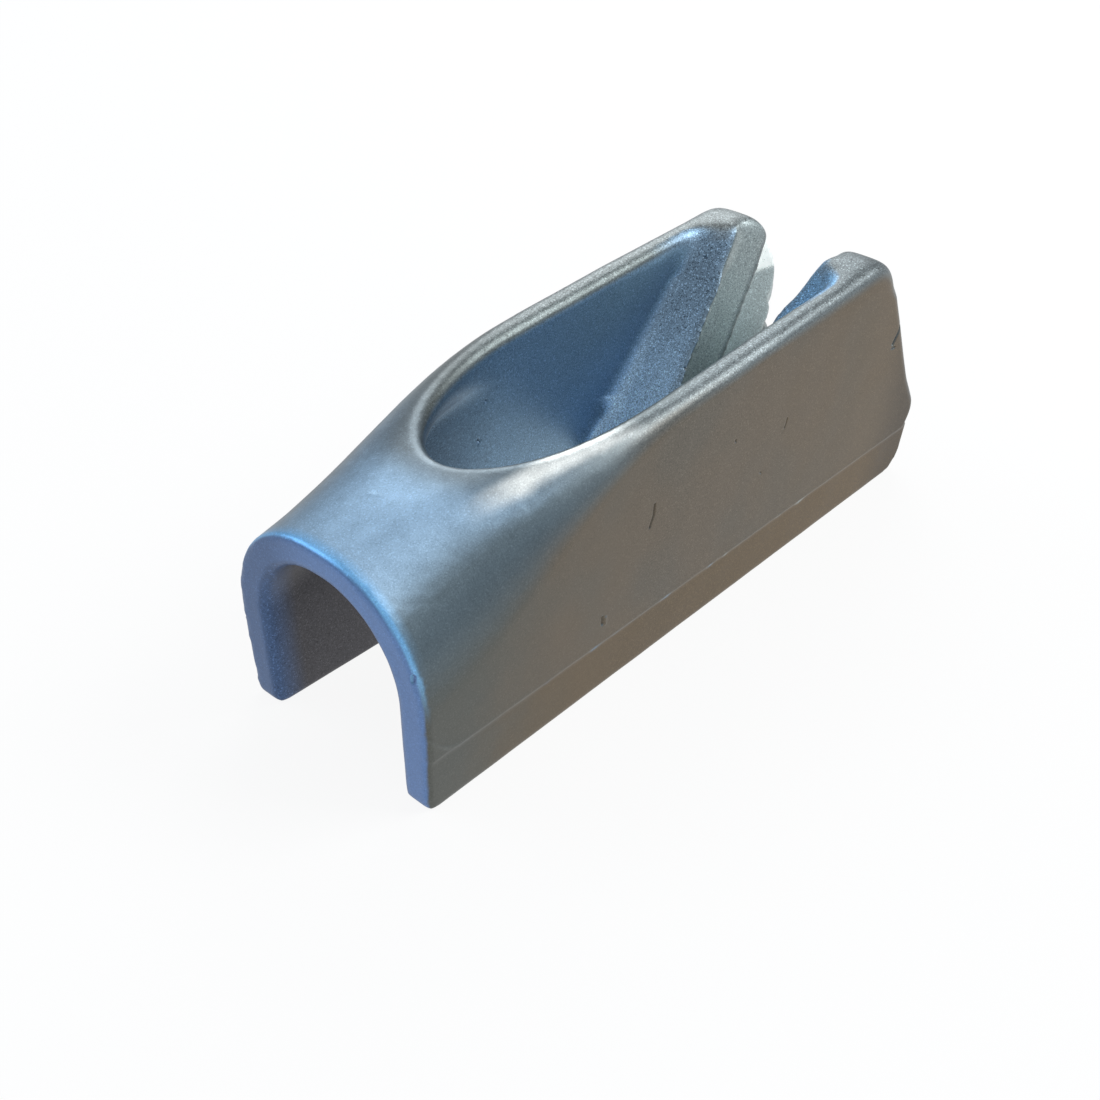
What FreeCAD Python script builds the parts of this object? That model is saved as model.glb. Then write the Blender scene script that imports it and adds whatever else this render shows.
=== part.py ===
"""Jam cleat: one aluminium casting that a thin line is jammed in.

The line runs in under an open-bottomed arch, up through an oval opening in
the roof and back along a V-groove, whose slanting teeth wedge it.  It leaves
over a bell mouth in the rear slope, and the jaws end in open air between the
side walls.  A channel runs under the groove along the whole casting.

Axes: +X towards the jaws, +Y to the side, +Z up, millimetres.
Stations along the casting are counted from the front of its feet, and the
finished casting is set with the centre of its box over the origin.
"""
import FreeCAD
import Part
import math
import os
from FreeCAD import Vector

# Overall sizes
foot_length = 57.6          # front of the feet to the back of the skirt
width = 16.0                # across the body above the parting line
jaw_height = 21.95          # corner of roof and rear slope, before rounding
wall = 2.1                  # side walls and tunnel roof

# Front face and roof
front_lean = 4.5            # degrees, the arch leans forward over the feet
roof_slope = 5.7            # degrees, the roof climbs towards the jaws
nose_drop = 1.4             # how far the roof dips below its line at the feet
blend_length = 24.0         # the round nose turns into square shoulders here
edge_radius = 1.0           # rounding along the roof and round the rear end
nose_flat = 0.65            # half the flat left on top of the round nose
nose_stretch = 0.9          # the nose's arch is this much taller than round
blend_power = 2.5           # how soon the shoulders turn square behind the nose
nose_steps = 7              # sections that the nose is lofted through

# Skirt below the parting line
parting_height = 4.25
skirt_inset = 0.1           # step at the parting line
skirt_draft = 1.2           # degrees
skirt_rear_radius = 2.0
skirt_front_radius = 0.7
corner_radius = 0.4         # upright corners of the skirt

# Rear slope and lip
lip_overhang = 0.93         # sharp corner of the lip, past the skirt
lip_rise = 1.7              # sharp corner of the lip, above the parting line
lip_radius = 2.2
slope_lean = 34.5           # degrees from upright, from lip to roof
slope_hollow = 0.38         # dip of the slope, where it flares out to the lip
hollow_height = 9.8         # height of the dip
slope_radius = 14.0
crown_radius = 3.5          # rounding between roof and rear slope

# Channel under the casting
channel_radius = 2.0
tunnel_steps = 6            # sections that the tunnel is lofted through
mouth_radius = 0.6          # rounding of the arch's inner edge
mouth_taper = 0.3           # the tunnel's walls are this much thicker at the feet
nose_edge_radius = 0.4      # rounding of the arch's outer edge

# Oval opening
oval_front = 8.5            # station of its front end
oval_centre = 21.5          # station where its sides become straight
rim_radius = 0.9            # rounding round the oval and along the jaws

# Jaws: the first tooth's crest is the line where the funnel ends
crest_setback = 2.8         # its top, ahead of where roof and rear slope would meet
crest_half_gap = 3.45       # half the gap between the jaws at the roof
crest_slope = 46.8          # degrees, crests fall towards the front
jaw_angle = 12.7            # degrees, each jaw from upright
funnel_length = 1.94        # wall corner of the funnel, ahead of the crest
funnel_slope = 48.7         # degrees, the wall corner's own fall
funnel_radius = 2.0
tooth_pitch = 5.1           # along the casting
tooth_step = 0.55           # length of a tooth's steep back
tooth_depth = 0.7
crest_count = 3             # the last crest ends the jaws
pocket_radius = 2.0         # corners behind the jaws
pocket_drop = 0.3           # floor behind the jaws, below the groove's
groove_radius = 0.7         # round floor of the V-groove
funnel_end = 0.1            # lowest cut of the funnel, above the jaws' crossing
web = 2.0                   # left between the groove's floor and the channel
exit_height = 16.5          # centre of the bell mouth on the rear slope
exit_bore = 2.4             # radius of the bell mouth's narrow end
exit_radius = 3.7           # rounding of the bell mouth

# Cutting room past the faces
margin = 4.0

half_width = width / 2
inner_half = half_width - wall
rear = foot_length + margin


def tan(degrees):
    return math.tan(math.radians(degrees))


def sin(degrees):
    return math.sin(math.radians(degrees))


def cos(degrees):
    return math.cos(math.radians(degrees))


def slope_foot():
    """Sharp corner of the lip, as station and height."""
    return foot_length + lip_overhang, parting_height + lip_rise


def roof_corner():
    """Station where the roof line meets the rear slope."""
    station, height = slope_foot()
    return station - tan(slope_lean) * (jaw_height - height)


def roof(station):
    """Height of the roof: a straight climb that dips at the nose."""
    nose = max(0.0, 1 - station / blend_length)
    return jaw_height - tan(roof_slope) * (roof_corner() - station) - nose_drop * nose ** 3


def front(height):
    """Station of the front face at a height."""
    return -tan(front_lean) * height


def roundness(station):
    """Share of the round nose in the section: 1 at the feet, 0 at the jaws."""
    nose = max(0.0, 1 - station / blend_length)
    return math.sin(nose * math.pi / 2) ** blend_power


def shoulder(station):
    """Width of the shoulder's curve, from the round nose to the plain edge."""
    return edge_radius + (half_width - nose_flat - edge_radius) * roundness(station)


def rounded_edges(corners):
    """Edges of a closed outline through (point, radius) corners, tangent arcs."""
    edges, starts, ends = [], [], []
    for i, (corner, radius) in enumerate(corners):
        before = (corners[i - 1][0] - corner).normalize()
        after = (corners[(i + 1) % len(corners)][0] - corner).normalize()
        half = before.getAngle(after) / 2
        starts.append(corner + before * (radius / math.tan(half)))
        ends.append(corner + after * (radius / math.tan(half)))
        middle = (before + after).normalize()
        bulge = corner + middle * (radius / math.sin(half) - radius)
        edges.append(Part.Arc(starts[i], bulge, ends[i]).toShape() if radius else None)
    chain = []
    for i, arc in enumerate(edges):
        if arc:
            chain.append(arc)
        chain.append(Part.makeLine(ends[i], starts[(i + 1) % len(corners)]))
    return chain


def rounded(corners):
    return Part.Wire(rounded_edges(corners))


def side_plate(corners, half):
    """Solid from (station, height, radius) corners, as wide as 2 * half."""
    wire = rounded([(Vector(x, -half, z), radius) for x, z, radius in corners])
    return Part.Face(wire).extrude(Vector(0, 2 * half, 0))


def section(station, half, top, radius, bottom):
    """Upright cross-section with straight sides and round shoulders."""
    tall = radius / cos(roof_slope) + nose_stretch * roundness(station) ** 2
    flat = half - radius
    high = top - tall

    def shoulder_arc(side):
        centre = Vector(station, side * flat, high)
        crown = centre + Vector(0, 0, tall)
        flank = centre + Vector(0, side * radius, 0)
        return Part.Arc(Part.Ellipse(crown, flank, centre), 0, math.pi / 2).toShape()

    def line(y0, z0, y1, z1):
        return Part.makeLine(Vector(station, y0, z0), Vector(station, y1, z1))

    return Part.Wire([
        line(-half, bottom, half, bottom),
        line(half, bottom, half, high),
        shoulder_arc(1),
        line(flat, top, -flat, top),
        shoulder_arc(-1),
        line(-half, high, -half, bottom),
    ])


def edges_where(solid, test):
    """Edges whose every sampled point passes a test."""
    found = []
    for edge in solid.Edges:
        points = edge.discretize(5)
        if all(test(point) for point in points):
            found.append(edge)
    return found


def rear_block():
    """Body behind the nose, rounded along its roof, slope and lip."""
    lip_station, lip_height = slope_foot()
    hollow_station = lip_station - tan(slope_lean) * (hollow_height - lip_height)
    hollow_station -= slope_hollow / cos(slope_lean)
    block = side_plate([
        (blend_length, parting_height, 0),
        (blend_length, roof(blend_length), 0),
        (roof_corner(), jaw_height, crown_radius),
        (hollow_station, hollow_height, slope_radius),
        (lip_station, lip_height, lip_radius),
        (foot_length, parting_height, 0),
    ], half_width)

    def on_outline(p):
        on_side = abs(abs(p.y) - half_width) < 1e-4
        return on_side and p.z > parting_height + 0.01 and p.x > blend_length + 0.01

    outline = [
        edge for edge in block.Edges
        if all(abs(abs(v.Y) - half_width) < 1e-4 for v in edge.Vertexes)
        and on_outline(edge.valueAt((edge.FirstParameter + edge.LastParameter) / 2))
    ]
    return block.makeFillet(edge_radius, outline)


def nose():
    """Round front end, which turns into the rear block's section."""
    step = (blend_length + margin) / nose_steps
    sections = []
    for i in range(nose_steps + 1):
        s = i * step - margin
        sections.append(section(s, half_width, roof(s), shoulder(s), parting_height))
    body = Part.makeLoft(sections, True, False)
    ahead = side_plate([
        (front(-margin), -margin, 0),
        (front(2 * jaw_height), 2 * jaw_height, 0),
        (-2 * margin, 2 * jaw_height, 0),
        (-2 * margin, -margin, 0),
    ], width)
    body = body.cut(ahead)
    return body.makeFillet(nose_edge_radius, front_edges(body, parting_height + nose_edge_radius))


def front_edges(solid, lowest):
    """Edges in the front face that reach above a height."""
    def in_front(p):
        return abs(p.x - front(p.z)) < 1e-3

    return [e for e in edges_where(solid, in_front) if e.BoundBox.ZMax > lowest]


def skirt():
    """Tapered band below the parting line, with feet still to be trimmed."""
    top_half = half_width - skirt_inset

    def outline(z):
        half = top_half - tan(skirt_draft) * (parting_height - z)
        corners = [(front(z), -half), (front(z), half), (foot_length, half), (foot_length, -half)]
        return rounded([(Vector(x, y, z), corner_radius) for x, y in corners])

    return between(outline, -margin, parting_height)


def side_outline():
    """All that lies above the ground and between the rounded foot ends."""
    top = jaw_height + margin
    return side_plate([
        (front(0), 0, skirt_front_radius),
        (front(top), top, 0),
        (rear, top, 0),
        (rear, parting_height, 0),
        (foot_length, parting_height, 0),
        (foot_length, 0, skirt_rear_radius),
    ], width)


def tunnel():
    """Arch-shaped way in under the roof, as far as the oval opening."""
    sections = []
    for i in range(tunnel_steps + 1):
        s = i * (oval_centre + margin) / tunnel_steps - margin
        radius = max(shoulder(s) - wall, edge_radius)
        half = inner_half - mouth_taper * max(0.0, 1 - s / oval_centre)
        sections.append(section(s, half, roof(s) - wall, radius, -2 * margin))
    return Part.makeLoft(sections, True, False)


def channel():
    """Open channel from the tunnel's end out through the rear."""
    wire = rounded([
        (Vector(oval_centre, -inner_half, -2 * margin), 0),
        (Vector(oval_centre, inner_half, -2 * margin), 0),
        (Vector(oval_centre, inner_half, groove_floor() - web), channel_radius),
        (Vector(oval_centre, -inner_half, groove_floor() - web), channel_radius),
    ])
    return Part.Face(wire).extrude(Vector(rear - oval_centre, 0, 0))


def crest_top():
    """Station and height where the first tooth's crest comes out through the roof."""
    station = roof_corner() - crest_setback
    return station, roof(station)


def crest(height):
    """Station and half gap of the first tooth's crest at a height."""
    station, top = crest_top()
    rise = height - top
    return station + rise / tan(crest_slope), crest_half_gap + rise * tan(jaw_angle)


def funnel_corner(height):
    """Station where the side wall turns into the funnel."""
    station, top = crest_top()
    return station - funnel_length + (height - top) / tan(funnel_slope)


def oval_end(height):
    """Front end of the oval, a half ellipse from side to side."""
    centre = Vector(oval_centre, 0, height)
    tip = centre - Vector(oval_centre - oval_front, 0, 0)
    curve = Part.Ellipse(tip, centre + Vector(0, inner_half, 0), centre)
    return Part.Arc(curve, -math.pi / 2, math.pi / 2).toShape()


def funnel_outline(height):
    """Oval, straight sides and funnel at a height, closed across the crests."""
    station, gap = crest(height)
    corner = funnel_corner(height)
    side = [
        (oval_centre, inner_half, 0),
        (corner, inner_half, funnel_radius),
        (station, gap, 0),
    ]
    corners = side + [(x, -y, radius) for x, y, radius in side[::-1]]
    edges = rounded_edges([(Vector(x, y, height), radius) for x, y, radius in corners])
    return Part.Wire(edges[:-1] + [oval_end(height)])


def throat_outline(height):
    """Oval and straight sides, closed where the web under the groove begins."""
    corner = funnel_corner(height)
    corners = [(oval_centre, inner_half), (corner, inner_half),
               (corner, -inner_half), (oval_centre, -inner_half)]
    edges = rounded_edges([(Vector(x, y, height), 0) for x, y in corners])
    return Part.Wire(edges[:-1] + [oval_end(height)])


def between(outline, low, high):
    return Part.makeLoft([outline(low), outline(high)], True, True)


def jaws_meet():
    """Height where the two jaws' planes would cross."""
    return crest_top()[1] - crest_half_gap / tan(jaw_angle)


def groove_floor():
    """Height of the groove's lowest line."""
    return jaws_meet() + groove_radius / sin(jaw_angle) - groove_radius


def jaw_foot():
    """Height where the jaws run into the groove's round floor."""
    return groove_floor() + groove_radius - groove_radius * sin(jaw_angle)


def groove():
    """V-groove with a round floor, from the funnel out through the rear."""
    top = jaw_height + margin
    start = funnel_corner(jaw_foot())
    half = crest(top)[1]
    wire = rounded([
        (Vector(start, 0, jaws_meet()), groove_radius),
        (Vector(start, half, top), 0),
        (Vector(start, -half, top), 0),
    ])
    return Part.Face(wire).extrude(Vector(rear - start, 0, 0))


def pocket():
    """Room between the side walls behind the jaws, as deep as the groove."""
    def outline(height):
        station, gap = crest(height)
        back = station + (crest_count - 1) * tooth_pitch
        wall_end = back + (inner_half - gap) * tooth_step / tooth_depth
        side = [
            (rear + margin, inner_half, 0),
            (wall_end, inner_half, pocket_radius),
            (back, gap, 0),
        ]
        corners = side + [(x, -y, radius) for x, y, radius in side[::-1]]
        return rounded([(Vector(x, y, height), radius) for x, y, radius in corners])

    return between(outline, groove_floor() - pocket_drop, jaw_height + margin)


def exit_bell():
    """Bell mouth that leads the line out of the groove over the rear slope."""
    outward = Vector(cos(slope_lean), 0, sin(slope_lean))
    station, height = slope_foot()
    centre = Vector(station - tan(slope_lean) * (exit_height - height), 0, exit_height)
    side = Vector(0, 1, 0)
    throat = centre - outward * exit_radius
    rim_point = centre + side * (exit_bore + exit_radius)
    bend = rim_point - outward * exit_radius
    middle = bend - (side - outward).normalize() * exit_radius
    arc = Part.Arc(throat + side * exit_bore, middle, rim_point).toShape()
    outside = rim_point + outward * margin
    profile = Part.Wire([
        Part.makeLine(throat, throat + side * exit_bore),
        arc,
        Part.makeLine(rim_point, outside),
        Part.makeLine(outside, centre + outward * margin),
        Part.makeLine(centre + outward * margin, throat),
    ])
    return Part.Face(profile).revolve(centre, outward, 360)


def tooth_gap(index, side):
    """Saw-tooth hollow behind a crest, down one jaw."""
    def outline(height):
        station, gap = crest(height)
        start = station + index * tooth_pitch
        inside = gap - tooth_depth
        corners = [
            (start, gap),
            (start + tooth_step, gap + tooth_depth),
            (start + tooth_pitch, gap),
            (start + tooth_pitch, inside),
            (start, inside),
        ]
        points = [Vector(x, side * y, height) for x, y in corners]
        return Part.makePolygon(points + points[:1])

    return between(outline, jaw_foot() + groove_radius, jaw_height + margin)


def rim(body, skin):
    """Edges where the oval, the groove and the pocket come out through the skin."""
    lowest = groove_floor() - pocket_drop - 0.01

    def on_rim(p):
        inside = abs(p.y) < inner_half + 0.01 and p.x > oval_front - 0.01 and p.z > lowest
        return inside and skin.distToShape(Part.Vertex(p))[0] < 1e-3

    return edges_where(body, on_rim)


def mouth(body):
    """Edges of the arch's opening in the front face."""
    def in_mouth(p):
        in_front = abs(p.x - front(p.z)) < 1e-3
        return in_front and abs(p.y) < inner_half and p.z < roof(p.x) - wall + 0.05

    return [e for e in edges_where(body, in_mouth) if e.Length > 0.01]


def main():
    os.makedirs("parts", exist_ok=True)
    body = rear_block().fuse([nose(), skirt()])
    skin = body.Shells[0]
    throat = between(throat_outline, 0, jaw_foot())
    funnel = between(funnel_outline, jaws_meet() + funnel_end, jaw_height + margin)
    for room in (tunnel(), channel(), throat, funnel, pocket(), groove()):
        body = body.cut(room)
    body = body.removeSplitter()
    body = body.makeFillet(rim_radius, rim(body, skin))
    body = body.makeFillet(mouth_radius, mouth(body))
    body = body.cut(exit_bell()).common(side_outline())
    body = body.cut([tooth_gap(i, side) for i in range(crest_count - 1) for side in (1, -1)])
    around = body.optimalBoundingBox()
    body.translate(Vector(-(around.XMin + around.XMax) / 2, 0, -around.ZMin))
    body.exportStep("parts/cleat_body.step")
    print(body.isValid(), len(body.Solids), round(body.Volume, 1), around)


if __name__ == "__main__":
    main()
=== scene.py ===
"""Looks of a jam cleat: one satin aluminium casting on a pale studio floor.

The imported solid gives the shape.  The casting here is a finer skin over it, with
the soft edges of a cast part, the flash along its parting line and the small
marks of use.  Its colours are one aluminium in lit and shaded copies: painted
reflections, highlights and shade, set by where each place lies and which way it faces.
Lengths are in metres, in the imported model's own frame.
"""
import bmesh
import bpy
import math
from bpy.props import FloatProperty, FloatVectorProperty, IntProperty, PointerProperty
from mathutils import Matrix, Vector, noise
from mathutils.bvhtree import BVHTree
from mathutils.kdtree import KDTree


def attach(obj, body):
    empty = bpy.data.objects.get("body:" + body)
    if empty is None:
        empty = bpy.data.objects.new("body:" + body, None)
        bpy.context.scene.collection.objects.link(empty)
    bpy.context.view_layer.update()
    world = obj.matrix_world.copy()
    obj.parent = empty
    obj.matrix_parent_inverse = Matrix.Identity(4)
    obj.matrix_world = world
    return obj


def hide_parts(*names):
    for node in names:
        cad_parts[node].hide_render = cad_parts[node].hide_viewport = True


bl_info = {
    "name": "Jam Cleat",
    "version": (1, 0, 0),
    "blender": (4, 5, 0),
    "location": "3D View > Sidebar > Jam Cleat",
    "description": "Dresses a cast jam cleat and sets it on a studio floor",
    "category": "Object",
}

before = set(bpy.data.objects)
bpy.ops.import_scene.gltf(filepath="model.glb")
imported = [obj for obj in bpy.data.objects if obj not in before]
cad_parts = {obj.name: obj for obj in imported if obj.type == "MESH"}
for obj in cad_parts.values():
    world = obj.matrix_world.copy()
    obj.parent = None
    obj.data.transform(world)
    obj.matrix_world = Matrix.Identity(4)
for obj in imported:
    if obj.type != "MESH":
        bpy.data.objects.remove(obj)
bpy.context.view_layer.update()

CASTING = "cleat_casting"
NODE = "cleat_body"
BODY = "root"

# Numbers that the casting's mesh carries for the finish
NOTES = ("inside", "mark", "seam")

# How much a side's facing counts against the top's, for each metre from the middle plane
SIDE_WEIGHT = 150

# The casting's forms that the skin and the finish follow, in metres
FEET_START = -0.02845
ROOF_TOP = 0.02195
ROOF_CORNER = 0.04753
ROOF_CLIMB = math.tan(math.radians(5.7))
NOSE_DROP = 0.0014
NOSE_LENGTH = 0.024
OVAL_CENTRE = 0.0215
OVAL_LENGTH = 0.013
OVAL_HALF = 0.0059
FRONT_LEAN = math.tan(math.radians(4.5))
PARTING_HEIGHT = 0.00425
PARTING_CURL = 0.0015
CURL_LENGTH = 0.0024
CREST_STATION = 0.0441
CREST_HEIGHT = 0.0210
CREST_RUN = 1 / math.tan(math.radians(46.8))
TOOTH_PITCH = 0.0051
SIDES_START = 0.0075

# How far the parting line's flash reaches: half its width, and the band of the sides that holds it
FLASH_HALF = 0.00012
FLASH_BAND = 0.0020

# Boxes in which walls are blended, as stations and heights, and their half width.
# The first holds the vault and the oval, the second the funnel's foot.
BLENDED = ((0.009, 0.030, 0.0125, 0.0174), (0.0275, 0.0345, 0.0050, 0.0105))
BLENDED_HALF = 0.0065

# The jaws' tops: the height and the place along X where their rounding starts, how far
# that start moves to the rear, and over what depth the rounding fades
CROWN_LOW = 0.0192
CROWN_START = 0.004
CROWN_RUN = 0.010
CROWN_BLEND = 0.001

# Looks outwards that tell the casting's inside from its outside
LOOK_START = 0.0001
LOOK_REACH = 0.03
LOOK_SPREAD = 0.7

# The floor, the point that the lamps aim at, and the camera as fitted to the photo
FLOOR_RADIUS = 1.2
AIM = Vector((0, 0, 0.01))
CAMERA_PLACE = (-0.066246, -0.04476, 0.05629)
CAMERA_TURN = math.radians(37.085)
CAMERA_RISE = math.radians(35.063)
CAMERA_ROLL = math.radians(5.097)
CAMERA_LENS = 41.974
CAMERA_SHIFT = (-0.01545, 0.00382)

# Marks of use: points along each mark, half width and depth in millimetres, then darkness.
# A mark with a negative depth stands proud.
MARK_UNIT = 0.001
MARK_STEP = 0.00004
MARKS = (
    # Near side: scratch, nick and the nick's burr
    (((-8.96, -8.0, 13.05), (-8.92, -8.0, 12.24), (-9.19, -8.0, 11.42)), 0.15, 0.09, 0.95),
    (((-13.30, -8.0, 6.45), (-13.22, -8.0, 5.85)), 0.17, 0.11, 0.60),
    (((-12.96, -8.0, 6.25), (-12.92, -8.0, 5.75)), 0.20, -0.06, 0.0),
    # Rear edge: chip and the dot below it
    (((22.75, -7.8, 15.45), (22.55, -8.0, 14.97), (21.95, -8.0, 14.05)), 0.24, 0.18, 1.0),
    (((21.95, -8.0, 13.68), (22.42, -8.0, 13.62)), 0.16, 0.10, 0.8),
    # Near side: fine scratch
    (((6.65, -8.0, 13.30), (6.60, -8.0, 12.83), (6.49, -8.0, 12.55)), 0.10, 0.05, 0.7),
    # Arch's edge: chip
    (((-29.26, -7.22, 10.70), (-29.28, -7.17, 10.35)), 0.22, 0.14, 0.7),
    # Oval's far wall and far jaw: four pits
    (((-10.37, 5.85, 12.33), (-10.30, 5.85, 12.20)), 0.17, 0.13, 0.9),
    (((-9.72, 5.86, 15.15), (-9.70, 5.86, 15.05)), 0.13, 0.10, 0.7),
    (((7.99, 1.84, 12.99), (8.01, 1.67, 12.96)), 0.16, 0.12, 0.9),
    (((13.10, 4.70, 19.50), (13.20, 4.60, 19.50)), 0.14, 0.10, 0.9),
    # Nose's top: a faint raised mark, in two parts
    (((-24.85, 0.90, 16.72), (-24.72, 0.62, 16.73)), 0.30, -0.014, 0.04),
    (((-24.60, 0.35, 16.75), (-24.55, 0.25, 16.75)), 0.24, -0.010, 0.04),
    # Near side: two specks
    (((4.10, -8.0, 9.90), (4.25, -8.0, 9.75)), 0.12, 0.06, 0.5),
    (((-0.13, -8.0, 14.20), (-0.10, -8.0, 14.05)), 0.13, 0.06, 0.5),
)


class CastingSizes(bpy.types.PropertyGroup):
    grid: FloatProperty(
        name="Grid", description="Spacing of the skin's points before it is thinned",
        default=0.00016, min=0.0001, subtype="DISTANCE", unit="LENGTH")
    passes: IntProperty(
        name="Smoothing", description="Rounds of smoothing over the skin", default=10, min=0)
    edge_passes: IntProperty(
        name="Edge rounding", description="Rounds of smoothing over the sharp edges",
        default=6, min=0)
    wall_passes: IntProperty(
        name="Wall blending", description="Rounds of smoothing where vault and walls meet",
        default=50, min=0)
    crown_passes: IntProperty(
        name="Crown rounding", description="Rounds of smoothing over the tops of the jaws",
        default=70, min=0)
    foot_passes: IntProperty(
        name="Foot rounding", description="Rounds of smoothing over the feet's lower edges",
        default=5, min=0)
    triangles: IntProperty(
        name="Triangles", description="Most triangles that the skin keeps", default=185000, min=20000)
    wave: FloatProperty(
        name="Wave", description="How far the cast surface strays from true",
        default=0.000014, min=0, subtype="DISTANCE", unit="LENGTH")
    flash: FloatProperty(
        name="Flash", description="Height of the seam left along the parting line",
        default=0.00003, min=0, subtype="DISTANCE", unit="LENGTH")


# One aluminium in lit and shaded copies: each colour below holds the painted reflection, highlight or
# shade of its place, and the marks keep their own colour
class FinishLooks(bpy.types.PropertyGroup):
    # Painted reflection and shade: the sides' dark brown-grey
    side: FloatVectorProperty(
        name="Sides", description="Colour of the upright sides",
        default=(0.15, 0.125, 0.094), size=3, subtype="COLOR", min=0, max=1)
    # Painted reflection and shade: the darker grey of the sides near the arch
    side_nose: FloatVectorProperty(
        name="Sides at the nose", description="Colour of the sides near the arch",
        default=(0.11, 0.116, 0.106), size=3, subtype="COLOR", min=0, max=1)
    # Painted reflection: the browner band below the parting line and towards the rear
    skirt: FloatVectorProperty(
        name="Skirt", description="Colour of the band below the parting line",
        default=(0.142, 0.098, 0.048), size=3, subtype="COLOR", min=0, max=1)
    # Painted reflection: the shoulders' dark blue-grey
    shoulder: FloatVectorProperty(
        name="Shoulder", description="Colour between the sides and the top",
        default=(0.13, 0.175, 0.205), size=3, subtype="COLOR", min=0, max=1)
    # Painted reflection: the sky's blue on top of the round nose
    nose: FloatVectorProperty(
        name="Nose", description="Colour on top of the round nose",
        default=(0.41, 0.6, 0.8), size=3, subtype="COLOR", min=0, max=1)
    # Painted highlight: the bright band of light across the near shoulder
    band: FloatVectorProperty(
        name="Shoulder band", description="Colour of the bright band beside the oval",
        default=(0.85, 0.88, 0.86), size=3, subtype="COLOR", min=0, max=1)
    # Painted shade: the darker rounding where the roof turns down into the openings
    rim: FloatVectorProperty(
        name="Rim", description="Colour where the roof rounds down into the openings",
        default=(0.150, 0.175, 0.175), size=3, subtype="COLOR", min=0, max=1)
    # Painted light: the roof's grey, lit from above and so lighter than the sides
    rail: FloatVectorProperty(
        name="Rails", description="Colour of the roof beside the opening",
        default=(0.25, 0.278, 0.278), size=3, subtype="COLOR", min=0, max=1)
    # Painted reflection: the sky's periwinkle blue on the arch's front face
    front: FloatVectorProperty(
        name="Front", description="Colour of the arch's front face",
        default=(0.13, 0.225, 0.44), size=3, subtype="COLOR", min=0, max=1)
    # Painted highlight: the bright blue line of light along the arch's outer rounding, also used as
    # painted blue reflection on the near jaw's inner face
    front_edge: FloatVectorProperty(
        name="Front edge", description="Colour along the arch's outer edge",
        default=(0.26, 0.6, 1.0), size=3, subtype="COLOR", min=0, max=1)
    # Painted shade: the dark inside of the arch
    tunnel: FloatVectorProperty(
        name="Tunnel", description="Colour inside the arch",
        default=(0.12, 0.118, 0.13), size=3, subtype="COLOR", min=0, max=1)
    # Painted shade and reflection: the dark slate-blue walls inside the oval
    bowl: FloatVectorProperty(
        name="Bowl", description="Colour of the walls inside the oval",
        default=(0.22, 0.34, 0.46), size=3, subtype="COLOR", min=0, max=1)
    # Painted reflection: the sky's blue on the faces that lead into the groove
    funnel: FloatVectorProperty(
        name="Funnel", description="Colour of the faces that lead into the groove",
        default=(0.29, 0.43, 0.58), size=3, subtype="COLOR", min=0, max=1)
    # Painted reflection: the grey-green of the toothed jaws
    teeth: FloatVectorProperty(
        name="Teeth", description="Colour of the toothed jaws",
        default=(0.365, 0.425, 0.43), size=3, subtype="COLOR", min=0, max=1)
    # Painted shade: the darker valleys behind the teeth's crests
    valley_shade: FloatVectorProperty(
        name="Valleys", description="Colour behind the teeth's crests, where dirt stays",
        default=(0.13, 0.16, 0.17), size=3, subtype="COLOR", min=0, max=1)
    # Painted highlight: the near-white patch of light on the jaws' ends
    painted_highlight: FloatVectorProperty(
        name="Polished", description="Colour where the line has rubbed the jaws' ends bright",
        default=(0.95, 1.0, 0.97), size=3, subtype="COLOR", min=0, max=1)
    mark: FloatVectorProperty(
        name="Marks", description="Colour in the scratches and nicks",
        default=(0.035, 0.03, 0.024), size=3, subtype="COLOR", min=0, max=1)
    roughness: FloatProperty(
        name="Roughness", description="How matt the metal is", default=0.42, min=0, max=1)
    metallic: FloatProperty(
        name="Metallic", description="Share of bare metal in the finish", default=0.85, min=0, max=1)
    grain: FloatProperty(
        name="Grain", description="Width of one grain of the blasted surface",
        default=0.0001, min=0.00002, subtype="DISTANCE", unit="LENGTH")


class StageLooks(bpy.types.PropertyGroup):
    floor: FloatVectorProperty(
        name="Floor", description="Colour of the floor",
        default=(0.86, 0.86, 0.86), size=3, subtype="COLOR", min=0, max=1)
    white_share: FloatProperty(
        name="White share", description="How far the floor shows as a white background",
        default=0.9, min=0, max=1)
    surround: FloatVectorProperty(
        name="Surround", description="Colour of the soft light all round",
        default=(0.90, 0.95, 1.0), size=3, subtype="COLOR", min=0, max=1)
    surround_level: FloatProperty(
        name="Surround level", description="Strength of the light all round", default=0.55, min=0)
    key_power: FloatProperty(
        name="Key", description="Power of the lamp over the near side, in watts",
        default=0.95, min=0, subtype="POWER", unit="POWER")
    back_power: FloatProperty(
        name="Back", description="Power of the lamp behind the jaws, in watts",
        default=0.62, min=0, subtype="POWER", unit="POWER")
    over_power: FloatProperty(
        name="Over", description="Power of the small lamp above, in watts",
        default=0.05, min=0, subtype="POWER", unit="POWER")
    front_power: FloatProperty(
        name="Front", description="Power of the lamp over the nose, in watts",
        default=0.45, min=0, subtype="POWER", unit="POWER")


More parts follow.
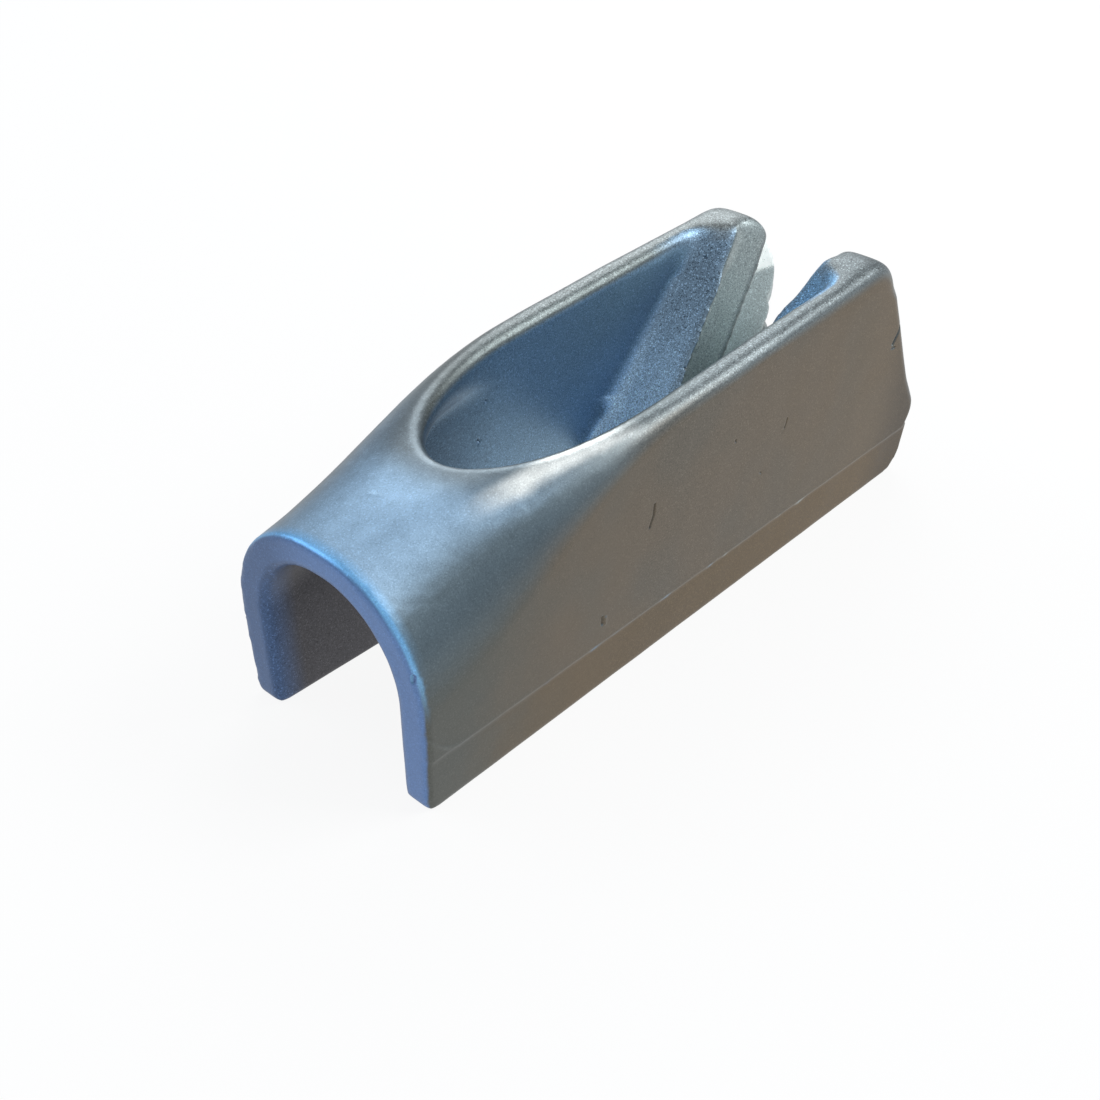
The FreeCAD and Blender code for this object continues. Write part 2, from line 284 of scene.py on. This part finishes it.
class Maths:
    """A shader number that adds its Math nodes as Python expressions are written."""

    def __init__(self, finish, socket):
        self.finish = finish
        self.socket = socket

    def run(self, operation, *values):
        return self.finish.number("ShaderNodeMath", {"operation": operation}, dict(enumerate(values)))

    def __add__(self, other):
        return self.run("ADD", self, other)

    __radd__ = __add__

    def __sub__(self, other):
        return self.run("SUBTRACT", self, other)

    def __rsub__(self, other):
        return self.run("SUBTRACT", other, self)

    def __mul__(self, other):
        return self.run("MULTIPLY", self, other)

    __rmul__ = __mul__

    def __truediv__(self, other):
        return self.run("DIVIDE", self, other)

    def __rtruediv__(self, other):
        return self.run("DIVIDE", other, self)

    def __pow__(self, other):
        return self.run("POWER", self, other)

    def __abs__(self):
        return self.run("ABSOLUTE", self)

    def above(self, other):
        return self.run("MAXIMUM", self, other)

    def ramp(self, low, high):
        """Soft step: 0 at low, 1 at high."""
        return self.finish.number(
            "ShaderNodeMapRange", {"interpolation_type": "SMOOTHSTEP"},
            {"Value": self, "From Min": low, "From Max": high})


class Finish:
    """A material while its nodes are laid out."""

    def __init__(self, name):
        old = bpy.data.materials.get(name)
        if old:
            bpy.data.materials.remove(old)
        self.material = bpy.data.materials.new(name)
        self.material.use_nodes = True
        self.tree = self.material.node_tree
        self.tree.nodes.clear()

    def node(self, kind, settings, sockets):
        """Adds a node: its settings first, then the values or links of its sockets."""
        made = self.tree.nodes.new(kind)
        for name, value in settings.items():
            setattr(made, name, value)
        for name, value in sockets.items():
            source = getattr(value, "socket", value)
            if isinstance(source, bpy.types.NodeSocket):
                self.tree.links.new(source, made.inputs[name])
            else:
                made.inputs[name].default_value = source
        return made

    def number(self, kind, settings, sockets, output=0):
        return Maths(self, self.node(kind, settings, sockets).outputs[output])

    def mix(self, share, first, second, blend="MIX"):
        settings = {"data_type": "RGBA", "blend_type": blend}
        return self.node("ShaderNodeMix", settings, {0: share, 6: first, 7: second}).outputs[2]

    def noise(self, place, width, detail=2.0, roughness=0.5):
        """Cloudy pattern from 0 to 1, whose clouds are about this wide."""
        sockets = {"Vector": place, "Scale": 1 / width, "Detail": detail, "Roughness": roughness}
        return self.number("ShaderNodeTexNoise", {}, sockets)

    def noted(self, name):
        """A number that the mesh carries for each of its points."""
        made = self.node("ShaderNodeAttribute", {"attribute_name": name}, {})
        return Maths(self, made.outputs["Fac"])

    def cells(self, place, width):
        """A number from 0 to 1 that differs from one small cell to the next."""
        made = self.node("ShaderNodeTexVoronoi", {}, {"Vector": place, "Scale": 1 / width})
        return self.number("ShaderNodeSeparateColor", {}, {"Color": made.outputs["Color"]})


def fresh(name, mesh):
    """An object of this name with this mesh, in place of any earlier one."""
    old = bpy.data.objects.get(name)
    if old:
        bpy.data.objects.remove(old)
    piece = bpy.data.objects.new(name, mesh)
    bpy.context.scene.collection.objects.link(piece)
    return piece


def merged(node, name):
    """A copy of a CAD node's mesh whose triangles share their corners."""
    mesh = bpy.data.meshes.new(name)
    shape = bmesh.new()
    shape.from_mesh(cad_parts[node].data)
    bmesh.ops.remove_doubles(shape, verts=shape.verts, dist=1e-7)
    bmesh.ops.recalc_face_normals(shape, faces=shape.faces)
    shape.to_mesh(mesh)
    shape.free()
    return mesh


def with_modifier(piece, kind, **settings):
    """The piece's mesh as one modifier leaves it."""
    step = piece.modifiers.new(kind.lower(), kind)
    for name, value in settings.items():
        setattr(step, name, value)
    shape = piece.evaluated_get(bpy.context.evaluated_depsgraph_get())
    mesh = bpy.data.meshes.new_from_object(shape)
    piece.modifiers.clear()
    return mesh


def smoothed(shape, passes):
    """Smooths without shrinking: each round pulls in and then lets out again."""
    for _ in range(passes):
        for factor in (0.5, -0.53):
            bmesh.ops.smooth_vert(
                shape, verts=shape.verts, factor=factor,
                use_axis_x=True, use_axis_y=True, use_axis_z=True)


def rounded(shape, verts, passes):
    """Smooths only these points, which rounds the edges among them."""
    for _ in range(passes):
        bmesh.ops.smooth_vert(
            shape, verts=verts, factor=0.5, use_axis_x=True, use_axis_y=True, use_axis_z=True)


def on_crests(place, start=0.006, half=0.0055):
    """Whether a place is among the teeth's crests."""
    return place.x > start and abs(place.y) < half


def edges_rounded(shape, passes, sharp=0.4, low=0.0004):
    """Rounds the sharp edges above the feet, then the teeth's crests twice as far."""
    for crests in (False, True):
        kept = set()
        for edge in shape.edges:
            if len(edge.link_faces) == 2 and edge.calc_face_angle() > sharp:
                kept.update(vert for vert in edge.verts if vert.co.z > low)
        if crests:
            kept = {vert for vert in kept if on_crests(vert.co)}
        for _ in range(2):
            kept.update([edge.other_vert(vert) for vert in kept for edge in vert.link_edges])
        rounded(shape, sorted(kept, key=lambda vert: vert.index), passes * 2 if crests else passes)


def walls_rounded(shape, passes):
    """Blends the tunnel's vault and the funnel's foot into the walls below the oval."""
    for start, end, low, high in BLENDED:
        walls = [vert for vert in shape.verts
                 if start < vert.co.x - FEET_START < end
                 and low < vert.co.z < high and abs(vert.co.y) < BLENDED_HALF]
        rounded(shape, walls, passes)


def crowns_rounded(shape, passes):
    """Wears the tops of the jaws round, more and more towards their ends."""
    tops = [vert for vert in shape.verts
            if vert.co.z > CROWN_LOW - CROWN_BLEND and vert.co.x > CROWN_START]
    for i in range(passes):
        share = i / passes
        start = CROWN_START + share * CROWN_RUN
        low = CROWN_LOW - CROWN_BLEND * (1 - share)
        rounded(shape, [vert for vert in tops if vert.co.x > start and vert.co.z > low], 1)


def feet_rounded(shape, passes, reach=0.0009):
    """Rounds the feet's lower edges, and keeps their soles on the floor."""
    low = [vert for vert in shape.verts if vert.co.z < reach]
    rounded(shape, low, passes)
    sole = min(vert.co.z for vert in low)
    for vert in low:
        if vert.co.z < reach:
            vert.co.z = (vert.co.z - sole) * reach / (reach - sole)


def seam_share(place):
    """How much of the parting line's flash stands at a place on the sides, 0 to 1."""
    along = Vector((place.x * 420, place.y * 90, 0))
    curl = max(0.0, 1 - (place.x - FEET_START) / CURL_LENGTH) ** 2
    middle = PARTING_HEIGHT + PARTING_CURL * curl + 0.00006 * noise.noise(along)
    ridge = math.exp(-((place.z - middle) / FLASH_HALF) ** 2)
    return ridge * max(0.0, 0.75 + 0.6 * noise.noise(along * 2.3))


def by_parting(place):
    """Whether a place on the sides is near enough to the parting line to carry flash."""
    return abs(place.z - PARTING_HEIGHT) < FLASH_BAND and abs(place.y) > SIDES_START


def mark_points():
    """Tree of points along all the marks, and which mark each belongs to."""
    points = []
    for index, mark in enumerate(MARKS):
        corners = [Vector(corner) * MARK_UNIT for corner in mark[0]]
        for a, b in zip(corners, corners[1:]):
            steps = max(1, math.ceil((b - a).length / MARK_STEP))
            points += [(a.lerp(b, i / steps), index) for i in range(steps + 1)]
    tree = KDTree(len(points))
    for i, (point, index) in enumerate(points):
        tree.insert(point, i)
    tree.balance()
    return tree, [index for point, index in points]


def mark_at(place, tree, owners):
    """Depth and darkness of the nearest mark at a place."""
    nearest, i, distance = tree.find(place)
    path, half, depth, dark = MARKS[owners[i]]
    share = max(0.0, 1 - (distance / (half * MARK_UNIT)) ** 2) ** 2
    return depth * MARK_UNIT * share, dark * min(1.0, 1.4 * share)


def worn(shape, sizes, reach=0.0003):
    """Cuts in the marks of use, and leaves the waves and the flash of casting."""
    tree, owners = mark_points()
    near = [edge for edge in shape.edges
            if tree.find((edge.verts[0].co + edge.verts[1].co) / 2)[2] < reach]
    bmesh.ops.subdivide_edges(shape, edges=near, cuts=2, use_grid_fill=True)
    shape.normal_update()
    for vert in shape.verts:
        shift = sizes.wave * noise.noise(vert.co * 420)
        shift -= mark_at(vert.co, tree, owners)[0]
        if by_parting(vert.co):
            shift += sizes.flash * seam_share(vert.co)
        vert.co += vert.normal * shift


def cavity_shares(shape):
    """For each point, the share of five looks outwards that meet the casting again."""
    tree = BVHTree.FromBMesh(shape)
    shares = []
    for vert in shape.verts:
        aside = vert.normal.orthogonal().normalized()
        across = vert.normal.cross(aside)
        tilts = [tilt * LOOK_SPREAD for tilt in (aside, -aside, across, -across)]
        looks = [vert.normal] + [vert.normal + tilt for tilt in tilts]
        start = vert.co + vert.normal * LOOK_START
        met = sum(tree.ray_cast(start, look, LOOK_REACH)[0] is not None for look in looks)
        overhead = vert.normal.z < -0.3 and vert.co.z > 0.001
        shares.append(max(met / len(looks), 0.8 if overhead else 0.0))
    for _ in range(3):
        shares = [
            (shares[vert.index] + sum(shares[e.other_vert(vert).index] for e in vert.link_edges))
            / (1 + len(vert.link_edges)) for vert in shape.verts]
    return shares


def noted(shape):
    """Notes on each point how far it lies inside, in a mark and on the flash."""
    shape.verts.ensure_lookup_table()
    layers = [shape.verts.layers.float.new(name) for name in NOTES]
    tree, owners = mark_points()
    for vert, share in zip(shape.verts, cavity_shares(shape)):
        flash = seam_share(vert.co) if by_parting(vert.co) else 0.0
        notes = (share, mark_at(vert.co, tree, owners)[1], flash)
        for layer, value in zip(layers, notes):
            vert[layer] = value


class OBJECT_OT_cleat_casting(bpy.types.Operator):
    """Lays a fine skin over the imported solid, with the soft edges of a casting"""
    bl_idname = "object.cleat_casting"
    bl_label = "Casting"

    def execute(self, context):
        sizes = context.scene.cleat_casting
        piece = fresh(CASTING, merged(NODE, CASTING))
        piece.data = with_modifier(piece, "REMESH", mode="VOXEL", voxel_size=sizes.grid)
        shape = bmesh.new()
        shape.from_mesh(piece.data)
        smoothed(shape, sizes.passes)
        edges_rounded(shape, sizes.edge_passes)
        walls_rounded(shape, sizes.wall_passes)
        crowns_rounded(shape, sizes.crown_passes)
        feet_rounded(shape, sizes.foot_passes)
        worn(shape, sizes)
        bmesh.ops.triangulate(shape, faces=shape.faces)
        share = min(1.0, sizes.triangles / len(shape.faces))
        shape.to_mesh(piece.data)
        shape.free()
        piece.data = with_modifier(piece, "DECIMATE", ratio=share)
        shape = bmesh.new()
        shape.from_mesh(piece.data)
        shape.normal_update()
        noted(shape)
        for face in shape.faces:
            face.smooth = True
        shape.to_mesh(piece.data)
        shape.free()
        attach(piece, BODY)
        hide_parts(NODE)
        return {"FINISHED"}


class Places:
    """Where a point of the casting lies, as shader numbers that the finish follows."""

    def __init__(self, finish):
        here = finish.node("ShaderNodeTexCoord", {}, {})
        self.place = here.outputs["Object"]
        at = finish.node("ShaderNodeSeparateXYZ", {}, {0: self.place})
        towards = finish.node("ShaderNodeSeparateXYZ", {}, {0: here.outputs["Normal"]})
        x, y, z = (Maths(finish, socket) for socket in at.outputs)
        nx, ny, nz = (Maths(finish, socket) for socket in towards.outputs)
        self.y, self.z, self.nx, self.nz = y, z, nx, nz
        self.inside, self.mark, self.seam = (finish.noted(name) for name in NOTES)
        self.cloud = finish.noise(self.place, 0.0035, 3.0, 0.6)
        self.wide = finish.noise(self.place, 0.009, 2.0)
        self.rise = nz + (self.wide - 0.5) * 0.12

        # Along the casting: the station, and how far a point is behind the first crest
        station = x - FEET_START
        self.station = station
        self.slant = station - (z - CREST_HEIGHT) * CREST_RUN - CREST_STATION
        self.round_nose = station.ramp(0.022, 0.014)
        self.past_nose = station.ramp(0.014, 0.030)
        self.before_crown = station.ramp(0.042, 0.036)

        # Inside: below the roof's line and within the oval, or facing the middle plane
        drop = (1 - station / NOSE_LENGTH).above(0) ** 3 * NOSE_DROP
        self.under = ROOF_TOP - (ROOF_CORNER - station) * ROOF_CLIMB - drop - z
        oval = ((OVAL_CENTRE - station).above(0) / OVAL_LENGTH) ** 2 + (y / OVAL_HALF) ** 2
        within = self.under.ramp(0.0004, 0.0011) * oval.ramp(1.16, 1.06) * station.ramp(0.0500, 0.0490)
        inward = (y * ny).ramp(-0.001, -0.003)
        self.cavity = self.inside.ramp(0.22, 0.66).above(within).above(inward)
        self.steep = nz.ramp(0.15, 0.55) * self.under.ramp(0.0002, 0.0008)
        self.open_above = (station + z * 0.35).ramp(0.0125, 0.0155)
        # Painted highlight: the patch of light high on the jaws behind the second crest
        self.highlight_patch = (self.slant - TOOTH_PITCH).ramp(-0.00005, 0.00015) * z.ramp(0.0172, 0.0177)

        # Beside the oval, and the painted highlight: a bright band of light that runs slanting past it on
        # the near shoulder
        self.beside = oval.ramp(2.1, 1.2) * station.ramp(0.0045, 0.0080)
        band = abs(y + station * 0.19 + 0.0032 + (self.cloud - 0.5) * 0.0008).ramp(0.0010, 0.0002)
        band = band * station.ramp(0.0055, 0.0105) * station.ramp(0.0190, 0.0150)
        self.band = band * nz.ramp(0.45, 0.8)

        # The arch: near its leaning front plane, and facing out or into the tunnel
        behind_front = station + z * FRONT_LEAN
        self.ahead = behind_front.ramp(0.0011, 0.0004)
        self.soft = behind_front.ramp(0.0026, 0.0)
        self.outward = y * ny * SIDE_WEIGHT + nz
        self.facing_in = self.outward.ramp(-0.12, -0.40)


def side_colour(finish, at, paint):
    """Colour of the upright sides: a painted brown reflection, browner to the rear and below the parting
    line, greyer near the arch.
    """
    curl = (1 - at.station / CURL_LENGTH).above(0) ** 2 * PARTING_CURL
    below = at.z - curl + (at.wide - 0.5) * 0.0001
    below = below.ramp(PARTING_HEIGHT + 0.0001, PARTING_HEIGHT - 0.0001)
    side = finish.mix(at.wide.ramp(0.40, 0.65) * 0.35, paint["side"], paint["side_nose"])
    side = finish.mix(at.station.ramp(0.022, 0.054) * 0.6, side, paint["skirt"])
    side = finish.mix(below * (0.45 + at.station.ramp(0.0, 0.045) * 0.55), side, paint["skirt"])
    to_nose = (at.station + (at.cloud - 0.5) * 0.006).ramp(0.011, 0.001)
    side = finish.mix(to_nose, side, paint["side_nose"])
    # Painted highlight: a lighter line along the flash's ridge, in the rails' colour
    return finish.mix(at.seam * 0.22, side, paint["rail"])


def outer_colour(finish, at, paint):
    """Colour outside, with painted reflections, highlights and shade: the sides, then shoulders, rails,
    nose, the bright band and the arch's outer edge.
    """
    side = side_colour(finish, at, paint)
    # Painted light by facing: the near rail takes some of the shoulder's painted reflection, the nose's
    # top its painted sky blue, and faces go from the sides' painted tones to the roof's as they turn up
    rail = finish.mix(at.y.ramp(0.0, -0.006) * 0.30, paint["rail"], paint["shoulder"])
    shoulder = finish.mix(at.station.ramp(0.009, 0.018) * 0.5, paint["shoulder"], paint["rail"])
    top = finish.mix(at.station.ramp(0.016, 0.007) * (1 - at.beside * 0.8), rail, paint["nose"])
    outer = finish.mix(at.rise.ramp(-0.02, 0.55) * at.round_nose, side, shoulder)
    outer = finish.mix(at.rise.ramp(0.02, 0.50) * at.past_nose, outer, rail)
    outer = finish.mix(at.rise.ramp(0.62, 0.96), outer, top)
    # Painted shade on the rounding into the oval
    rim = at.inside.ramp(0.03, 0.20) * at.nz.ramp(0.15, 0.5) * at.station.ramp(0.005, 0.008)
    outer = finish.mix(rim * 0.8 * at.before_crown, outer, paint["rim"])
    # Painted highlight of the near shoulder's bright band
    outer = finish.mix(at.band, outer, paint["band"])
    # Painted highlight along the arch's outer edge
    outward = at.outward.ramp(0.05, 0.35) * at.z.ramp(0.007, 0.013)
    return finish.mix(at.nx.ramp(-0.05, -0.40) * at.ahead * outward, outer, paint["front_edge"])


def inner_colour(finish, at, paint):
    """Colour inside, with painted shade and reflections: tunnel, bowl and funnel, then the toothed jaws
    behind the first crest.
    """
    walls = finish.mix(at.steep, paint["bowl"], paint["funnel"])
    # Painted shade on the rounding at the top of the inner walls
    edge = at.nz.ramp(0.1, 0.5) * at.under.ramp(0.0011, 0.0004) * at.before_crown
    walls = finish.mix(edge, walls, paint["rim"])
    inner = finish.mix(at.open_above, paint["tunnel"], walls)
    inner = finish.mix(at.slant.ramp(-0.00006, 0.00006), inner, paint["teeth"])
    # Painted shade in the valleys behind each crest
    valley_shade = abs(at.slant - TOOTH_PITCH + 0.0003).ramp(0.0008, 0.0) * 0.75
    valley_shade = valley_shade.above(abs(at.slant).ramp(0.00035, 0.0001) * 0.5)
    inner = finish.mix(valley_shade, inner, paint["valley_shade"])
    # Painted blue reflection on the near jaw's inner face
    near_jaw_reflection = at.slant.ramp(0.0, -0.0002) * at.y.ramp(-0.002, -0.0045) * at.station.ramp(0.036, 0.042)
    inner = finish.mix(near_jaw_reflection * 0.55, inner, paint["front_edge"])
    # Painted highlight patch on the jaws' ends
    return finish.mix(at.highlight_patch, inner, paint["painted_highlight"])


def tone_level(finish, at, fine, grain):
    """How light the finish is: its grain, painted glints and blotches, with painted shade and light on the
    bowl, funnel, teeth, rear end, arch's mouth, far side of the nose, the oval's surround and the near
    crown.
    """
    glints_and_grain = finish.cells(at.place, grain * 0.8)
    blotch = finish.noise(at.place, 0.0009, 1.0)
    strong = 0.70 - at.round_nose * 0.35 + at.cavity * 0.30
    strong = strong + at.rise.ramp(0.3, 0.9) * at.past_nose * 0.8
    level = 0.92 + (at.cloud - 0.5) * 0.16 + (fine - 0.5) * strong * 1.3
    level = level + (blotch - 0.5) * at.nz.ramp(0.3, 0.8) * at.station.ramp(0.024, 0.014) * 0.28

    # Painted shade deep at the bowl's front and at the funnel's top, painted light low in the funnel
    bowl = at.station.ramp(0.010, 0.022) * 0.74 - 0.58
    funnel = 0.42 - at.z.ramp(0.008, 0.019) * 0.80
    walls = bowl + (funnel - bowl) * at.steep
    level = level * (1 + walls * at.cavity * at.open_above * at.slant.ramp(0.0, -0.0002))
    # Painted light: the second tooth lighter
    level = level * (1 + (at.slant - TOOTH_PITCH).ramp(-0.0001, 0.0002) * at.cavity * 0.25)

    # Painted shade on these forms, each darkened by its share
    rear_shade = at.station.ramp(0.049, 0.056)
    arch_mouth_shade = at.soft * at.facing_in
    far_nose_shade = at.y.ramp(0.0, 0.005) * at.station.ramp(0.013, 0.007)
    oval_surround_shade = at.beside * (1 - at.cavity) * (1 - at.band)
    near_crown_shade = at.nz.ramp(0.4, 0.9) * at.station.ramp(0.035, 0.043) * at.y.ramp(0.0, -0.004)
    painted_shades = (
        (rear_shade, 0.44), (arch_mouth_shade, 0.20), (far_nose_shade, 0.38), (oval_surround_shade, 0.22), (near_crown_shade, 0.18))
    for form, share in painted_shades:
        level = level * (1 - form * share)
    # Painted glints: bright specks where light sparkles on the blasted grain, and darker specks of the
    # grain itself
    level = level + (glints_and_grain.ramp(0.80, 1.0) * 0.5 - glints_and_grain.ramp(0.20, 0.0) * 0.25) * strong
    return level.above(0.2)


class MATERIAL_OT_cleat_aluminium(bpy.types.Operator):
    """Gives the casting its satin aluminium, with fine grain and marks, and the painted reflections,
    highlights, glints and shade of its colours
    """
    bl_idname = "material.cleat_aluminium"
    bl_label = "Aluminium"

    def execute(self, context):
        looks = context.scene.cleat_finish
        finish = Finish("satin_aluminium")
        paint = {name: (*getattr(looks, name), 1) for name in COLOURS}
        at = Places(finish)
        fine = finish.noise(at.place, looks.grain, 1.0, 0.6)

        outer = outer_colour(finish, at, paint)
        # Painted shade and reflections inside, where the looks outwards meet the casting again
        colour = finish.mix(at.cavity, outer, inner_colour(finish, at, paint))
        # Painted reflection on the arch's front face and its mouth's rounding
        crisp = at.nx.ramp(-0.55, -0.95) * at.ahead
        front = crisp + (at.soft - crisp) * at.facing_in
        colour = finish.mix(front, colour, paint["front"])
        level = tone_level(finish, at, fine, looks.grain)
        colour = finish.mix(1.0, colour, level.socket, "MULTIPLY")
        colour = finish.mix(at.mark, colour, paint["mark"])

        bump = finish.node("ShaderNodeBump", {}, {
            "Strength": 0.35, "Distance": 0.000012, "Height": fine})
        surface = finish.node("ShaderNodeBsdfPrincipled", {}, {
            "Base Color": colour,
            # Less metal in the painted highlight patch, so that it shows near-white
            "Metallic": looks.metallic - at.highlight_patch * at.cavity * 0.75,
            "Roughness": looks.roughness + (fine - 0.5) * 0.10 + (at.cloud - 0.5) * 0.08,
            "Normal": bump.outputs[0],
        })
        finish.node("ShaderNodeOutputMaterial", {}, {"Surface": surface.outputs[0]})
        casting = bpy.data.objects[CASTING]
        casting.data.materials.clear()
        casting.data.materials.append(finish.material)
        return {"FINISHED"}


def lamp(name, place, size, power, colour):
    """A square soft box that looks at the middle of the casting."""
    old = bpy.data.objects.get(name)
    if old:
        bpy.data.objects.remove(old)
    light = bpy.data.lights.new(name, "AREA")
    light.shape = "SQUARE"
    light.size = size
    light.energy = power
    light.color = colour
    holder = bpy.data.objects.new(name, light)
    holder.location = place
    holder.rotation_euler = (AIM - holder.location).to_track_quat("-Z", "Y").to_euler()
    bpy.context.scene.collection.objects.link(holder)


def camera_pose():
    """Where the camera stands and how it is turned, as a matrix."""
    flat = math.cos(CAMERA_RISE)
    back = Vector((
        -math.cos(CAMERA_TURN) * flat, -math.sin(CAMERA_TURN) * flat, math.sin(CAMERA_RISE)))
    level = back.cross(Vector((0, 0, -1))).normalized()
    upward = back.cross(level)
    right = level * math.cos(CAMERA_ROLL) + upward * math.sin(CAMERA_ROLL)
    top = upward * math.cos(CAMERA_ROLL) - level * math.sin(CAMERA_ROLL)
    pose = Matrix((right, top, back)).transposed().to_4x4()
    pose.translation = CAMERA_PLACE
    return pose


class SCENE_OT_cleat_stage(bpy.types.Operator):
    """Sets the floor, the lamps, the surround and the camera"""
    bl_idname = "scene.cleat_stage"
    bl_label = "Stage"

    def execute(self, context):
        looks = context.scene.cleat_stage
        scene = context.scene
        shape = bmesh.new()
        bmesh.ops.create_circle(shape, cap_ends=True, segments=96, radius=FLOOR_RADIUS)
        mesh = bpy.data.meshes.new("floor")
        shape.to_mesh(mesh)
        shape.free()
        floor = fresh("floor", mesh)
        finish = Finish("floor_card")
        place = finish.node("ShaderNodeTexCoord", {}, {})
        cloud = finish.noise(place.outputs["Object"], 0.08)
        tone = finish.mix(cloud, (*looks.floor, 1), (*[c * 1.02 for c in looks.floor], 1))
        card = finish.node("ShaderNodeBsdfPrincipled", {}, {"Base Color": tone, "Roughness": 0.8})
        white = finish.node("ShaderNodeEmission", {}, {"Color": (1, 1, 1, 1), "Strength": 1.0})
        seen = finish.node("ShaderNodeLightPath", {}, {})
        share = Maths(finish, seen.outputs["Is Camera Ray"]) + Maths(finish, seen.outputs["Is Glossy Ray"])
        share = share + Maths(finish, seen.outputs["Is Transmission Ray"])
        both = finish.node("ShaderNodeMixShader", {}, {
            0: share * looks.white_share, 1: card.outputs[0], 2: white.outputs[0]})
        finish.node("ShaderNodeOutputMaterial", {}, {"Surface": both.outputs[0]})
        floor.data.materials.append(finish.material)

        world = bpy.data.worlds.new("surround")
        world.use_nodes = True
        around = world.node_tree.nodes["Background"]
        around.inputs["Color"].default_value = (*looks.surround, 1)
        around.inputs["Strength"].default_value = looks.surround_level
        scene.world = world

        lamp("key_lamp", (0.22, -0.216, 0.32), 0.22, looks.key_power, (1.0, 1.0, 1.0))
        lamp("back_lamp", (0.29, 0.22, 0.26), 0.25, looks.back_power, (0.95, 0.98, 1.0))
        lamp("over_lamp", (0.07, -0.07, 0.40), 0.12, looks.over_power, (1.0, 1.0, 1.0))
        lamp("front_lamp", (-0.22, 0.34, 0.24), 0.28, looks.front_power, (0.72, 0.86, 1.0))

        lens = bpy.data.cameras.new("camera")
        lens.lens = CAMERA_LENS
        lens.shift_x, lens.shift_y = CAMERA_SHIFT
        lens.clip_start = 0.005
        lens.clip_end = 10.0
        camera = bpy.data.objects.new("camera", lens)
        camera.matrix_world = camera_pose()
        scene.collection.objects.link(camera)
        scene.camera = camera
        scene.view_settings.view_transform = "Standard"
        return {"FINISHED"}


class VIEW3D_PT_cleat(bpy.types.Panel):
    bl_label = "Jam Cleat"
    bl_idname = "VIEW3D_PT_cleat"
    bl_space_type = "VIEW_3D"
    bl_region_type = "UI"
    bl_category = "Jam Cleat"

    def draw(self, context):
        groups = (context.scene.cleat_casting, context.scene.cleat_finish, context.scene.cleat_stage)
        for step, group in zip(STEPS, groups):
            box = self.layout.box()
            for name in group.__annotations__:
                box.prop(group, name)
            box.operator(step.bl_idname)


COLOURS = (
    "side", "side_nose", "skirt", "shoulder", "nose", "band", "rim", "rail", "front",
    "front_edge", "tunnel", "bowl", "funnel", "teeth", "valley_shade", "painted_highlight", "mark")
STEPS = (OBJECT_OT_cleat_casting, MATERIAL_OT_cleat_aluminium, SCENE_OT_cleat_stage)
GROUPS = {"cleat_casting": CastingSizes, "cleat_finish": FinishLooks, "cleat_stage": StageLooks}


def register():
    for item in (*GROUPS.values(), *STEPS, VIEW3D_PT_cleat):
        bpy.utils.register_class(item)
    for name, group in GROUPS.items():
        setattr(bpy.types.Scene, name, PointerProperty(type=group))


def unregister():
    for name in GROUPS:
        delattr(bpy.types.Scene, name)
    for item in (VIEW3D_PT_cleat, *STEPS, *GROUPS.values()):
        bpy.utils.unregister_class(item)


def main():
    register()
    bpy.ops.object.cleat_casting()
    bpy.ops.material.cleat_aluminium()
    bpy.ops.scene.cleat_stage()


if __name__ == "__main__":
    main()
